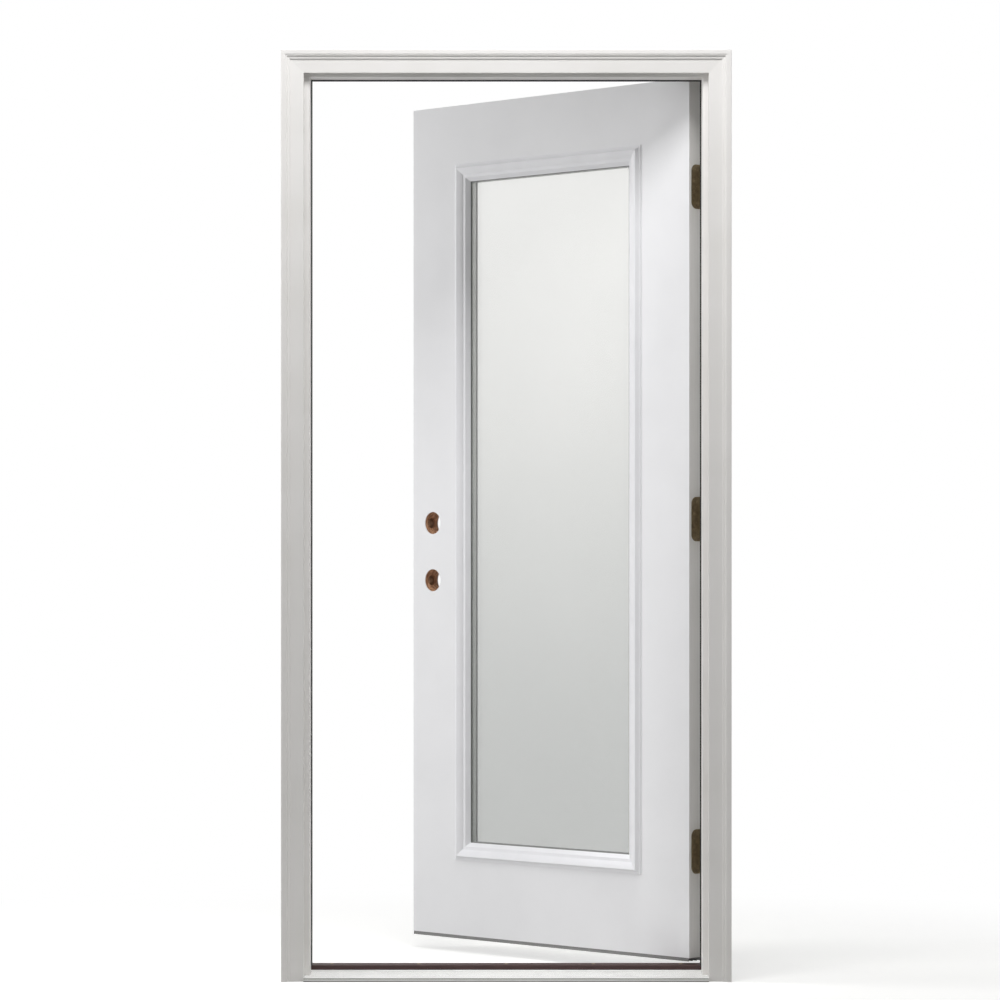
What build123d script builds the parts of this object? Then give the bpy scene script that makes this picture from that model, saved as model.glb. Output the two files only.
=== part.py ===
from build123d import *
import os
from math import cos, radians, sin

# A prehung front door, seen from outside: the leaf turns into the house on three hinges at +X.
# The origin lies on the underside of the sill, half way across, in the plane of the wall's outer face.
# +X runs to the hinge side, +Y into the house and +Z up. All lengths are millimetres.

# Wooden frame
frame_width = 952.5
frame_height = 2076.45
jamb_depth = 115.9
jamb_thickness = 31.75
rabbet_thickness = 17.0
stop_depth = 58.7
kerf_width = 3.0
kerf_depth = 9.0
kerf_setback = 1.0

# Trim round the outside of the frame
brickmould_width = 50.8
brickmould_thickness = 31.75
side_reveal = 12.7
head_reveal = 6.35
fillet_width = 9.4
fillet_step = 1.4
roll_widths = (4.4, 6.4)
roll_drop = 1.2
roll_bulge = 0.6
roll_step = 2.4
field_drop = 1.6
trim_chamfer = 1.2

# Compression seals
seal_thickness = 7.7
seal_show = 3.0
seal_fin_width = 2.4
seal_fin_length = 7.5
seal_round = 2.5
seal_clearance = 0.5
pad_height = 50.0
pad_thickness = 7.2

# Sill
nose_height = 9.4
nose_foot = 2.0
nose_groove_level = 7.4
nose_groove_height = 2.6
nose_groove_depth = 1.2
tread_back_height = 17.6
tread_wall = 1.8
tread_tuck = 14.0
tread_border = 9.0
tread_groove_pitch = 7.0
tread_groove_width = 1.6
tread_groove_depth = 0.6
cap_top = 28.0
cap_front = 60.0
cap_inset = 2.0
cap_round = 3.0
cap_end_gap = 0.5

# Leaf and the gaps round it
leaf_thickness = 44.45
side_gap = 5.25
head_gap = 5.45
open_angle = 44.5
lock_bevel = 2.8
skin_thickness = 2.0
stile_width = 38.0
rail_height = 41.0
lock_block_width = 110.0
lock_block_height = 400.0

# Bottom sweep
sweep_clearance = 5.0
sweep_height = 8.0
sweep_base = 3.0
sweep_inset = 0.6
sweep_end_gap = 3.0
sweep_fin_width = 1.8
sweep_fin_count = 4

# Lockset holes
bore_radius = 27.0
backset = 69.85
latch_radius = 12.7
deadbolt_height = 1041.4
lockset_height = 901.7
strike_width = 28.6
strike_height = 57.2
strike_depth = 1.6
strike_corner = 6.35
strike_bore_radius = 11.0

# Hinges
upper_hinge_drop = 247.5
lower_hinge_rise = 242.5
hinge_height = 101.6
hinge_reach = 44.45
hinge_plate = 2.5
hinge_corner = 15.9
pin_reach = 7.6
pin_radius = 3.95
pin_clearance = 0.05
pin_head_radius = 5.4
pin_head_height = 3.2
pin_head_rounding = 0.7
knuckle_radius = 6.35
knuckle_count = 5
knuckle_gap = 0.15
notch_clearance = 0.6
mortise_clearance = 0.15

# Glazing
lite_side_margin = 149.2
lite_top_margin = 142.2
lite_bottom_margin = 181.8
lite_member = 44.0
lite_edge = 1.8
cove_width = 10.0
cove_sag = 1.4
crest_rise = 9.0
crest_width = 3.0
crest_bulge = 0.4
slope_width = 14.0
slope_fall = 6.4
slope_bulge = 0.8
ledge_step = 0.9
ledge_width = 7.6
ledge_fall = 0.8
lip_edge = 0.9
lite_overlap = 27.0
lite_leg = 3.0
lite_fit = 1.0
glass_recess = 11.0
glass_thickness = 3.2
glass_bite = 10.0
spacer_depth = 12.6
spacer_width = 11.0
glazing_seal_thickness = 2.5
glazing_seal_width = 8.0
glazing_seal_show = 1.6

# Places worked out from the sizes above
jamb_back = frame_width / 2
stop_face = jamb_back - jamb_thickness
rabbet_face = jamb_back - rabbet_thickness
stop_step = jamb_thickness - rabbet_thickness
head_stop_face = frame_height - jamb_thickness
head_rabbet_face = frame_height - rabbet_thickness
trim_outer = stop_face + side_reveal + brickmould_width
trim_top = head_stop_face + head_reveal + brickmould_width
kerf_outer = rabbet_face - kerf_setback
kerf_inner = kerf_outer - kerf_width

leaf_width = 2 * (rabbet_face - side_gap)
leaf_top = head_rabbet_face - head_gap
sweep_bottom = cap_top + sweep_clearance
leaf_bottom = sweep_bottom + sweep_height
leaf_height = leaf_top - leaf_bottom
pivot = (rabbet_face - side_gap / 2, jamb_depth + pin_reach, 0)
hinge_edge = -side_gap / 2
lock_edge = hinge_edge - leaf_width
inner_face = -pin_reach
outer_face = inner_face - leaf_thickness
core_inner = inner_face - skin_thickness
core_outer = outer_face + skin_thickness
stile_inner = hinge_edge - stile_width
lock_block_edge = lock_edge + stile_width
lock_block_level = (deadbolt_height + lockset_height) / 2
bore_place = lock_edge + backset
bore_levels = (deadbolt_height, lockset_height)
lite_width = leaf_width - 2 * lite_side_margin
lite_height = leaf_height - lite_top_margin - lite_bottom_margin
lite_centre_height = leaf_bottom + lite_bottom_margin + lite_height / 2
lite_place = hinge_edge - leaf_width / 2
glass_stack = 2 * glass_thickness + spacer_depth
rear_recess = leaf_thickness - glass_recess - glass_stack
upper_hinge = leaf_top - upper_hinge_drop
lower_hinge = leaf_bottom + lower_hinge_rise
middle_hinge = (upper_hinge + lower_hinge) / 2
hinge_levels = {"upper": upper_hinge, "middle": middle_hinge, "lower": lower_hinge}

# The swing plane stands on the hinge pins and is turned with the leaf: its x points back to the
# hinges and its y into the house. The front and rear planes look out of the leaf's two faces.
swing = Plane(
    origin=pivot,
    x_dir=(cos(radians(open_angle)), -sin(radians(open_angle)), 0),
    z_dir=(0, 0, 1),
)
fixed = Plane(origin=pivot)
front = Plane(
    origin=swing.from_local_coords((0, outer_face, 0)), x_dir=swing.x_dir, z_dir=-swing.y_dir
)
rear = Plane(
    origin=swing.from_local_coords((0, inner_face, 0)), x_dir=-swing.x_dir, z_dir=swing.y_dir
)
lock_side = Plane(
    origin=swing.from_local_coords((lock_edge, (outer_face + inner_face) / 2, 0)),
    x_dir=-swing.y_dir,
    z_dir=-swing.x_dir,
)


def keep(piece, name):
    """Labels a finished piece and writes it out."""
    piece.part.label = name
    export_step(piece.part, f"parts/{name}.step")


def plan(outline, level, base=Plane.XY):
    """A closed plan outline on a level above this plane."""
    with BuildSketch(base.offset(level)) as face:
        with BuildLine():
            Polyline(*outline, close=True)
        make_face()
    return face.sketch


def jamb_plan(side):
    """A jamb's rabbeted plan with the kerf for its seal; side is +1 at the hinges, -1 at the strike."""
    outline = [
        (side * jamb_back, 0),
        (side * stop_face, 0),
        (side * stop_face, stop_depth),
        (side * kerf_inner, stop_depth),
        (side * kerf_inner, stop_depth - kerf_depth),
        (side * kerf_outer, stop_depth - kerf_depth),
        (side * kerf_outer, stop_depth),
        (side * rabbet_face, stop_depth),
        (side * rabbet_face, jamb_depth),
        (side * jamb_back, jamb_depth),
    ]
    return plan(outline, 0)


def make_hinge_jamb():
    """The hinge jamb with its hinge mortises."""
    with BuildPart() as hinge_jamb:
        extrude(jamb_plan(1), amount=frame_height)
        cut_hinge_mortises(fixed, 1)
    return hinge_jamb


def make_strike_jamb():
    """The strike jamb, with a shallow mortise and a hole for each bolt."""
    strike_middle = jamb_depth - leaf_thickness / 2
    with BuildPart() as strike_jamb:
        extrude(jamb_plan(-1), amount=frame_height)
        for level in bore_levels:
            mortise = Plane(
                origin=(-rabbet_face, strike_middle, level), x_dir=(0, -1, 0), z_dir=(-1, 0, 0)
            )
            with BuildSketch(mortise):
                RectangleRounded(strike_width, strike_height, strike_corner)
            extrude(amount=strike_depth, mode=Mode.SUBTRACT)
            with BuildSketch(mortise):
                Circle(strike_bore_radius)
            extrude(amount=rabbet_thickness, mode=Mode.SUBTRACT)
    return strike_jamb


def make_head_jamb():
    """The head jamb, coped round the stops of the side jambs, with its kerf."""
    with BuildPart() as head_jamb:
        with BuildSketch(Plane.XY.offset(head_stop_face)):
            Rectangle(2 * stop_face, stop_depth, align=(Align.CENTER, Align.MIN))
        extrude(amount=jamb_thickness)
        with BuildSketch(Plane.XY.offset(head_rabbet_face)):
            with Locations((0, stop_depth)):
                Rectangle(
                    2 * rabbet_face, jamb_depth - stop_depth, align=(Align.CENTER, Align.MIN)
                )
        extrude(amount=rabbet_thickness)
        with BuildSketch(Plane.XY.offset(head_rabbet_face - kerf_setback)):
            with Locations((0, stop_depth)):
                Rectangle(2 * stop_face, kerf_depth, align=(Align.CENTER, Align.MAX))
        extrude(amount=-kerf_width, mode=Mode.SUBTRACT)
    return head_jamb


def brickmould_section(base):
    """The moulded section of the trim: x inwards from its outer edge, y out from the wall."""
    place = fillet_width
    level = brickmould_thickness - fillet_step
    with BuildSketch(base) as section:
        with BuildLine():
            Polyline(
                (0, 0),
                (0, brickmould_thickness - trim_chamfer),
                (trim_chamfer, brickmould_thickness),
                (place, brickmould_thickness),
                (place, level),
            )
            for width in roll_widths:
                roll_end = (place + width, level - roll_drop)
                SagittaArc((place, level), roll_end, roll_bulge)
                place += width
                level -= roll_drop + roll_step
                Line(roll_end, (place, level))
            Polyline(
                (place, level),
                (brickmould_width, level - field_drop),
                (brickmould_width, 0),
                (0, 0),
            )
        make_face()
    return section.sketch


def mitre(side):
    """The plane through one top corner of the trim, looking up and towards the middle."""
    return Plane(origin=(side * trim_outer, 0, trim_top), z_dir=(-side, 0, 1))


def brickmould_leg(side):
    """One upright of the trim, mitred at the top."""
    foot = Plane(origin=(side * trim_outer, 0, 0), x_dir=(-side, 0, 0), z_dir=(0, 0, side))
    with BuildPart() as leg:
        extrude(brickmould_section(foot), amount=trim_top, dir=(0, 0, 1))
        split(bisect_by=mitre(side), keep=Keep.BOTTOM)
    return leg


def make_brickmould_head():
    """The top of the trim, mitred at both ends."""
    end = Plane(origin=(-trim_outer, 0, trim_top), x_dir=(0, 0, -1), z_dir=(-1, 0, 0))
    with BuildPart() as head:
        extrude(brickmould_section(end), amount=2 * trim_outer, dir=(1, 0, 0))
        for side in (-1, 1):
            split(bisect_by=mitre(side), keep=Keep.TOP)
    return head


def seal_bar(base, length, direction):
    """A compression seal: x from the rabbet to the opening, y from the stop's step inwards."""
    with BuildPart() as seal:
        with BuildSketch(base) as section:
            with Locations((seal_clearance, 0)):
                Rectangle(stop_step + seal_show - seal_clearance, seal_thickness, align=Align.MIN)
            fillet(section.vertices().group_by(Axis.Y)[-1], seal_round)
            with Locations((kerf_setback + kerf_width / 2, 0)):
                Rectangle(seal_fin_width, seal_fin_length, align=(Align.CENTER, Align.MAX))
        extrude(amount=length, dir=direction)
    return seal


def side_seal(side):
    """The seal of one side jamb, from its corner pad up to the head."""
    bottom = cap_top + pad_height
    base = Plane(
        origin=(side * rabbet_face, stop_depth, bottom), x_dir=(-side, 0, 0), z_dir=(0, 0, -side)
    )
    return seal_bar(base, head_rabbet_face - seal_clearance - bottom, (0, 0, 1))


def make_head_seal():
    """The seal of the head jamb, between the two side seals."""
    end = stop_face - seal_show
    base = Plane(origin=(-end, stop_depth, head_rabbet_face), x_dir=(0, 0, -1), z_dir=(1, 0, 0))
    return seal_bar(base, 2 * end, (1, 0, 0))


def corner_pad(side):
    """The foam pad that closes the corner between stop, rabbet and threshold cap."""
    outer_end = side * (rabbet_face - seal_clearance)
    inner_end = side * (stop_face - seal_show)
    inner_line = stop_depth + pad_thickness
    outline = [
        (outer_end, stop_depth),
        (inner_end, stop_depth),
        (inner_end, inner_line - seal_round),
        (inner_end + side * seal_round, inner_line),
        (outer_end, inner_line),
    ]
    with BuildPart() as pad:
        extrude(plan(outline, cap_top), amount=pad_height)
    return pad


def tread_level(depth):
    """Height of the tread's upper face at this depth into the doorway."""
    run = cap_front + brickmould_thickness
    return nose_height + (tread_back_height - nose_height) * (depth + brickmould_thickness) / run


def sill_plan():
    """The sill's plan: between the legs of the trim, then the stops, then the rabbets."""
    with BuildSketch(Plane.XY) as outline:
        Rectangle(
            2 * (stop_face + side_reveal), brickmould_thickness, align=(Align.CENTER, Align.MAX)
        )
        Rectangle(2 * stop_face, stop_depth, align=(Align.CENTER, Align.MIN))
        with Locations((0, stop_depth)):
            Rectangle(2 * rabbet_face, jamb_depth - stop_depth, align=(Align.CENTER, Align.MIN))
    return outline.sketch


def make_sill_base():
    """The composite base of the sill, under the tread and the cap."""
    front_line = tread_wall - brickmould_thickness
    tuck_end = cap_front + tread_tuck
    with BuildPart() as sill_base:
        with BuildSketch(Plane.YZ):
            with BuildLine():
                Polyline(
                    (front_line, 0),
                    (front_line, tread_level(front_line) - tread_wall),
                    (cap_front, tread_back_height - tread_wall),
                    (tuck_end, tread_back_height - tread_wall),
                    (tuck_end, tread_back_height),
                    (jamb_depth, tread_back_height),
                    (jamb_depth, 0),
                    close=True,
                )
            make_face()
        extrude(amount=rabbet_face, both=True)
        extrude(sill_plan(), amount=cap_top, mode=Mode.INTERSECT)
    return sill_base


def make_sill_tread():
    """The sloping metal tread with its nose and non-slip grooves, tucked under the cap."""
    nose = -brickmould_thickness
    inner_nose = nose + tread_wall
    tuck_end = cap_front + tread_tuck
    groove_run = cap_front - nose - 2 * tread_border
    groove_count = int(groove_run / tread_groove_pitch) + 1
    with BuildPart() as sill_tread:
        with BuildSketch(Plane.YZ):
            with BuildLine():
                Polyline(
                    (nose, nose_foot),
                    (nose, nose_height),
                    (cap_front, tread_back_height),
                    (tuck_end, tread_back_height),
                    (tuck_end, tread_back_height - tread_wall),
                    (cap_front, tread_back_height - tread_wall),
                    (inner_nose, tread_level(inner_nose) - tread_wall),
                    (inner_nose, nose_foot),
                    close=True,
                )
            make_face()
            for number in range(groove_count):
                depth = nose + tread_border + number * tread_groove_pitch
                with Locations((depth, tread_level(depth))):
                    Rectangle(tread_groove_width, 2 * tread_groove_depth, mode=Mode.SUBTRACT)
            with Locations((nose, nose_groove_level)):
                Rectangle(2 * nose_groove_depth, nose_groove_height, mode=Mode.SUBTRACT)
        extrude(amount=rabbet_face, both=True)
        extrude(sill_plan(), amount=cap_top, mode=Mode.INTERSECT)
    return sill_tread


def make_threshold_cap():
    """The cap that the bottom sweep passes over."""
    with BuildPart() as cap:
        with BuildSketch(Plane.YZ) as section:
            with Locations((cap_front, tread_back_height)):
                Rectangle(
                    jamb_depth - cap_inset - cap_front, cap_top - tread_back_height, align=Align.MIN
                )
            fillet(section.vertices().group_by(Axis.Y)[-1], cap_round)
        extrude(amount=rabbet_face - cap_end_gap, both=True)
    return cap


def lock_line(depth):
    """Where the bevelled lock edge stands at this depth in the swing plane."""
    return lock_edge + lock_bevel * (inner_face - depth) / leaf_thickness


def core_plan(lock_end, hinge_end, level):
    """The plan of a piece between the two skins of the leaf."""
    outline = [
        (lock_end, core_outer),
        (hinge_end, core_outer),
        (hinge_end, core_inner),
        (lock_end, core_inner),
    ]
    return plan(outline, level, swing)


def make_rail(bottom):
    """A rail between the two stiles."""
    with BuildPart() as rail:
        extrude(core_plan(lock_block_edge, stile_inner, bottom), amount=rail_height)
    return rail


def cut_lite_opening():
    """Cuts the opening for the glazing."""
    with BuildSketch(front) as opening:
        with Locations((lite_place, lite_centre_height)):
            Rectangle(lite_width - 2 * lite_overlap, lite_height - 2 * lite_overlap)
    extrude(opening.sketch, amount=-leaf_thickness, mode=Mode.SUBTRACT)


def cut_lock_bores():
    """Cuts the two cross bores for the lockset and the deadbolt."""
    with BuildSketch(front) as bores:
        with Locations([(bore_place, level) for level in bore_levels]):
            Circle(bore_radius)
    extrude(bores.sketch, amount=-leaf_thickness, mode=Mode.SUBTRACT)


def cut_latch_bores():
    """Cuts the two holes that lead from the lock edge into the cross bores."""
    with BuildSketch(lock_side) as bores:
        with Locations([(0, level) for level in bore_levels]):
            Circle(latch_radius)
    extrude(bores.sketch, amount=-backset, mode=Mode.SUBTRACT)


def make_skin(outer, inner):
    """One moulded fiberglass face of the leaf, between two depths in the swing plane."""
    outline = [
        (lock_line(outer), outer),
        (hinge_edge, outer),
        (hinge_edge, inner),
        (lock_line(inner), inner),
    ]
    with BuildPart() as skin:
        extrude(plan(outline, leaf_bottom, swing), amount=leaf_height)
        cut_lite_opening()
        cut_lock_bores()
        if inner == inner_face:
            cut_hinge_mortises(swing, -1)
    return skin


def make_hinge_stile():
    """The wooden stile that the hinges are let into."""
    with BuildPart() as stile:
        extrude(core_plan(stile_inner, hinge_edge, leaf_bottom), amount=leaf_height)
        cut_hinge_mortises(swing, -1)
    return stile


def make_lock_stile():
    """The bevelled wooden stile at the lock edge, with the holes for the bolts."""
    outline = [
        (lock_line(core_outer), core_outer),
        (lock_block_edge, core_outer),
        (lock_block_edge, core_inner),
        (lock_line(core_inner), core_inner),
    ]
    with BuildPart() as stile:
        extrude(plan(outline, leaf_bottom, swing), amount=leaf_height)
        cut_latch_bores()
    return stile


def make_lock_block():
    """The wooden block that the lockset holes pass through."""
    inner_end = lock_block_edge + lock_block_width
    bottom = lock_block_level - lock_block_height / 2
    with BuildPart() as block:
        extrude(core_plan(lock_block_edge, inner_end, bottom), amount=lock_block_height)
        cut_lock_bores()
        cut_latch_bores()
    return block


def make_foam_core():
    """The foam between stiles and rails, cut out for the glazing and the lock block."""
    bottom = leaf_bottom + rail_height
    with BuildPart() as core:
        extrude(
            core_plan(lock_block_edge, stile_inner, bottom), amount=leaf_height - 2 * rail_height
        )
        cut_lite_opening()
        with BuildSketch(front):
            with Locations((lock_block_edge, lock_block_level)):
                Rectangle(lock_block_width, lock_block_height, align=(Align.MIN, Align.CENTER))
        extrude(amount=-leaf_thickness, mode=Mode.SUBTRACT)
    return core


def make_door_sweep():
    """The finned seal under the leaf."""
    base = Plane(
        origin=swing.from_local_coords((lock_edge + sweep_end_gap, outer_face + sweep_inset, 0)),
        x_dir=swing.y_dir,
        z_dir=swing.x_dir,
    )
    width = leaf_thickness - 2 * sweep_inset
    pitch = (width - sweep_fin_width) / (sweep_fin_count - 1)
    with BuildPart() as door_sweep:
        with BuildSketch(base):
            with Locations((0, leaf_bottom)):
                Rectangle(width, sweep_base, align=(Align.MIN, Align.MAX))
            for number in range(sweep_fin_count):
                with Locations((number * pitch, sweep_bottom)):
                    Rectangle(sweep_fin_width, leaf_bottom - sweep_bottom, align=Align.MIN)
        extrude(amount=leaf_width - 2 * sweep_end_gap)
    return door_sweep


def lite_section(base, lip_depth):
    """Section of a glazing frame: x inwards from its outer edge, y out from the leaf's face."""
    leg_start = lite_overlap + lite_fit
    leg_end = leg_start + lite_leg
    leg_depth = (leaf_thickness - lite_fit) / 2
    crest_end = (cove_width + crest_width, crest_rise)
    slope_end = (crest_end[0] + slope_width, crest_rise - slope_fall)
    ledge_level = slope_end[1] - ledge_step
    with BuildSketch(base) as section:
        with BuildLine():
            SagittaArc((0, lite_edge), (cove_width, crest_rise), -cove_sag)
            SagittaArc((cove_width, crest_rise), crest_end, crest_bulge)
            SagittaArc(crest_end, slope_end, slope_bulge)
            Polyline(
                slope_end,
                (slope_end[0], ledge_level),
                (slope_end[0] + ledge_width, ledge_level - ledge_fall),
                (lite_member, lip_edge - lip_depth),
                (lite_member, -lip_depth),
                (leg_end, -lip_depth),
                (leg_end, -leg_depth),
                (leg_start, -leg_depth),
                (leg_start, 0),
                (0, 0),
                (0, lite_edge),
            )
        make_face()
    return section.sketch


def make_lite_frame(face, place, lip_depth):
    """A moulded frame round the glass, its corners mitred, on one face of the leaf."""
    left = place - lite_width / 2
    right = place + lite_width / 2
    bottom = lite_centre_height - lite_height / 2
    top = lite_centre_height + lite_height / 2
    section = Plane(
        origin=face.from_local_coords((place, bottom, 0)), x_dir=face.y_dir, z_dir=face.x_dir
    )
    with BuildPart() as lite_frame:
        with BuildLine(face) as outer_edge:
            Polyline(
                (place, bottom),
                (right, bottom),
                (right, top),
                (left, top),
                (left, bottom),
                (place, bottom),
            )
        sweep(
            lite_section(section, lip_depth), path=outer_edge.wire(), transition=Transition.RIGHT
        )
    return lite_frame


def glazing_layer(outer_margin, inner_margin, recess, thickness):
    """A sheet or ring in the glazing; both margins are measured from the frame's outer edge."""
    with BuildPart() as layer:
        with BuildSketch(front.offset(-recess)):
            with Locations((lite_place, lite_centre_height)):
                Rectangle(lite_width - 2 * outer_margin, lite_height - 2 * outer_margin)
                if inner_margin:
                    Rectangle(
                        lite_width - 2 * inner_margin,
                        lite_height - 2 * inner_margin,
                        mode=Mode.SUBTRACT,
                    )
        extrude(amount=-thickness)
    return layer


def hinge_outline(axis_plane, side, level, growth=0):
    """The outline of a hinge plate on its own face, from the pin outwards; growth widens it."""
    face = Plane(
        origin=axis_plane.from_local_coords((side * side_gap / 2, 0, level)),
        x_dir=axis_plane.y_dir,
        z_dir=axis_plane.x_dir,
    )
    with BuildSketch(face) as plate:
        Rectangle(
            hinge_reach + growth, hinge_height + 2 * growth, align=(Align.MAX, Align.CENTER)
        )
        fillet(plate.vertices(Select.LAST).group_by(Axis.X)[0], hinge_corner)
    return plate.sketch


def cut_hinge_mortises(axis_plane, side):
    """Cuts the mortises for one leaf of every hinge; side is +1 in the jamb, -1 in the door."""
    for level in hinge_levels.values():
        outline = hinge_outline(axis_plane, side, level, mortise_clearance)
        extrude(outline, amount=side * hinge_plate, mode=Mode.SUBTRACT)


def hinge_leaf(axis_plane, side, level, first_knuckle):
    """One leaf of a hinge, with every second knuckle from the first one given here."""
    knuckle_height = hinge_height / knuckle_count
    bottom = level - hinge_height / 2
    with BuildPart() as leaf:
        extrude(hinge_outline(axis_plane, side, level), amount=side * hinge_plate)
        for number in range(1 - first_knuckle, knuckle_count, 2):
            base = axis_plane.offset(bottom + number * knuckle_height - knuckle_gap)
            with BuildSketch(base):
                Circle(knuckle_radius + notch_clearance)
            extrude(amount=knuckle_height + 2 * knuckle_gap, mode=Mode.SUBTRACT)
        for number in range(first_knuckle, knuckle_count, 2):
            base = axis_plane.offset(bottom + number * knuckle_height + knuckle_gap)
            with BuildSketch(base):
                Circle(knuckle_radius)
            extrude(amount=knuckle_height - 2 * knuckle_gap)
        with BuildSketch(axis_plane.offset(bottom)):
            Circle(pin_radius + pin_clearance)
        extrude(amount=hinge_height, mode=Mode.SUBTRACT)
    return leaf


def hinge_pin(level):
    """A hinge pin with a rounded button at either end."""
    half = hinge_height / 2
    with BuildPart() as pin:
        with BuildSketch(fixed.offset(level - half)):
            Circle(pin_radius)
        extrude(amount=2 * half)
        for end in (-1, 1):
            with BuildSketch(fixed.offset(level + end * half)):
                Circle(pin_head_radius)
            extrude(amount=end * pin_head_height)
        rims = pin.edges().filter_by(GeomType.CIRCLE).group_by(Axis.Z)
        fillet(rims[0] + rims[-1], pin_head_height * pin_head_rounding)
    return pin


def main():
    """Builds and writes every piece."""
    os.makedirs("parts", exist_ok=True)

    keep(make_hinge_jamb(), "hinge_jamb")
    keep(make_strike_jamb(), "strike_jamb")
    keep(make_head_jamb(), "head_jamb")
    keep(brickmould_leg(1), "brickmould_hinge_leg")
    keep(brickmould_leg(-1), "brickmould_strike_leg")
    keep(make_brickmould_head(), "brickmould_head")
    keep(side_seal(1), "hinge_seal")
    keep(side_seal(-1), "strike_seal")
    keep(make_head_seal(), "head_seal")
    keep(corner_pad(1), "hinge_corner_pad")
    keep(corner_pad(-1), "strike_corner_pad")
    keep(make_sill_base(), "sill_base")
    keep(make_sill_tread(), "sill_tread")
    keep(make_threshold_cap(), "threshold_cap")

    keep(make_skin(outer_face, core_outer), "exterior_skin")
    keep(make_skin(core_inner, inner_face), "interior_skin")
    keep(make_hinge_stile(), "hinge_stile")
    keep(make_lock_stile(), "lock_stile")
    keep(make_rail(leaf_top - rail_height), "top_rail")
    keep(make_rail(leaf_bottom), "bottom_rail")
    keep(make_lock_block(), "lock_block")
    keep(make_foam_core(), "foam_core")
    keep(make_door_sweep(), "door_sweep")

    seal = glazing_seal_thickness
    glass_edge = lite_member - glass_bite
    seal_edge = lite_member - glazing_seal_width
    seal_line = lite_member + glazing_seal_show
    inner_pane = glass_recess + glass_thickness + spacer_depth
    keep(make_lite_frame(front, lite_place, glass_recess - seal), "lite_frame_exterior")
    keep(make_lite_frame(rear, -lite_place, rear_recess - seal), "lite_frame_interior")
    keep(glazing_layer(seal_edge, seal_line, glass_recess - seal, seal), "glazing_seal_exterior")
    keep(glazing_layer(glass_edge, 0, glass_recess, glass_thickness), "glass_outer")
    keep(
        glazing_layer(
            glass_edge, glass_edge + spacer_width, glass_recess + glass_thickness, spacer_depth
        ),
        "glass_spacer",
    )
    keep(glazing_layer(glass_edge, 0, inner_pane, glass_thickness), "glass_inner")
    keep(
        glazing_layer(seal_edge, seal_line, glass_recess + glass_stack, seal),
        "glazing_seal_interior",
    )

    for name, level in hinge_levels.items():
        keep(hinge_leaf(fixed, 1, level, 0), f"{name}_hinge_jamb_leaf")
        keep(hinge_leaf(swing, -1, level, 1), f"{name}_hinge_door_leaf")
        keep(hinge_pin(level), f"{name}_hinge_pin")


main()
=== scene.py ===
"""Looks of a prehung fiberglass front door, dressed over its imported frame.

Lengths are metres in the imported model's frame: +X runs to the hinges, +Y into the house, +Z up,
and z = 0 is the underside of the sill. The leaf is stored 44.5 degrees open.
"""
import functools
import logging
import math
from dataclasses import dataclass
from enum import Enum
from typing import Any, Iterable

import bmesh
import bpy
from mathutils import Matrix, Vector
from mathutils.geometry import tessellate_polygon


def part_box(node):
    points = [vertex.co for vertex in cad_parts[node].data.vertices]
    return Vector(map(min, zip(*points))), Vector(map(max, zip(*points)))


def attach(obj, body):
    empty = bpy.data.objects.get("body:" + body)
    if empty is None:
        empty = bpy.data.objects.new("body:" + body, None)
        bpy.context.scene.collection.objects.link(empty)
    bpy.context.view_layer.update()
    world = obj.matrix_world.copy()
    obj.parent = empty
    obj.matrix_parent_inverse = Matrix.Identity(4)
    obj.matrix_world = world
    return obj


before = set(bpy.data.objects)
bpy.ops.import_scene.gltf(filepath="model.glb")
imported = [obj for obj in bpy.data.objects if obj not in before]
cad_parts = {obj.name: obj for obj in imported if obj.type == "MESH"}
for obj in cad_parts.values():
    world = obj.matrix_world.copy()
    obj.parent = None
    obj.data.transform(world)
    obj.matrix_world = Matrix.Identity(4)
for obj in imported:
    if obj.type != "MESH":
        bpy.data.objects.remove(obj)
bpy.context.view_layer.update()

log = logging.getLogger("front_door")

Tree = bpy.types.NodeTree
Socket = bpy.types.NodeSocket
Inputs = dict[str | int, Any]
Shape = bmesh.types.BMesh
Point = tuple[float, float, float]

MM = 0.001
WHITE = "#FFFFFF"
# Nearly all values of a noise lie between these
NOISE_LOW, NOISE_HIGH = 0.3, 0.7
# Edges of the pieces made here stay sharp where their faces turn by more than this
SHARP_ANGLE = math.radians(32)
# A face this near to level has no level direction of its own to set a fastener by
NEARLY_LEVEL = 0.01

# Sockets of the Mix node when it mixes colours, where the names are not unique
MIX_FACTOR, MIX_FIRST, MIX_SECOND, MIX_RESULT = 0, 6, 7, 2


class Body(str, Enum):
    """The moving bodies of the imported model."""

    FRAME = "frame"
    DOOR = "door"


class Run(Enum):
    """Which way a board's grain or a profile's drawn lines run in its own coordinates."""

    ACROSS = 0
    UPRIGHT = 2


class Ray(str, Enum):
    """Kinds of ray that the backdrop tells apart."""

    CAMERA = "Is Camera Ray"
    GLOSSY = "Is Glossy Ray"
    TRANSMISSION = "Is Transmission Ray"
    SHADOW = "Is Shadow Ray"


def linear(code: str) -> tuple[float, float, float, float]:
    """Turns an sRGB hex colour to linear.

    Args:
        code: The colour as "#RRGGBB".

    Returns:
        Red, green, blue and an alpha of 1.
    """
    parts = [int(code[i : i + 2], 16) / 255 for i in (1, 3, 5)]
    red, green, blue = (c / 12.92 if c <= 0.04045 else ((c + 0.055) / 1.055) ** 2.4 for c in parts)
    return red, green, blue, 1.0


def per_metre(size_mm: float) -> float:
    """The scale of a pattern whose features are this many millimetres."""
    return 1000 / size_mm


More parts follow.
